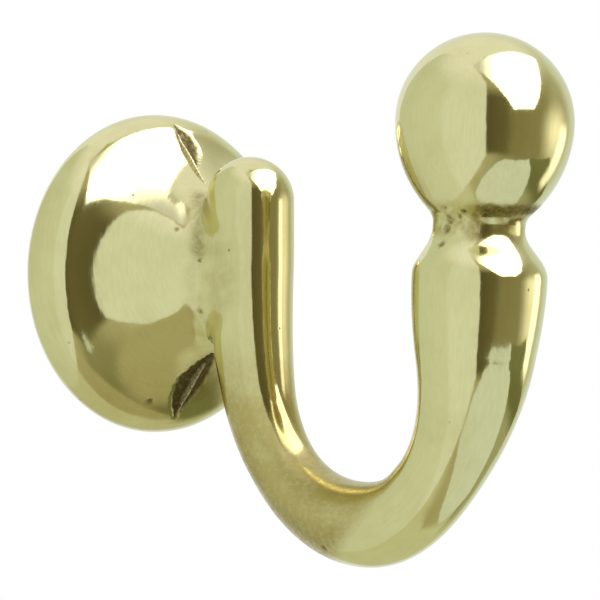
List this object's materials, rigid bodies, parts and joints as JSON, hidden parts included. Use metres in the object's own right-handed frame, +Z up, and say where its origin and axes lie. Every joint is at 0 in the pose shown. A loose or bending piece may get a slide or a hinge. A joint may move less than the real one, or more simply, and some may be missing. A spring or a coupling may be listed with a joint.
{
  "type": "curtain tieback hook",
  "caption": "Polished brass curtain tieback hook: round domed rose whose flare runs into a short upright shank, and a swan-neck arm that sweeps down, out and up to a ball end.",
  "frame": {"origin": "centre of the flat back of the rose, where the hook sits on the wall", "axes": "+X out of the wall along the screw hole, +Z up, Y across; the hook is symmetric about the XZ plane"},
  "size_m": [0.0521, 0.028, 0.0453],
  "materials": {
    "brass": "polished"
  },
  "bodies": {
    "root": {"tieback_hook": "brass"}
  },
  "joints": []
}
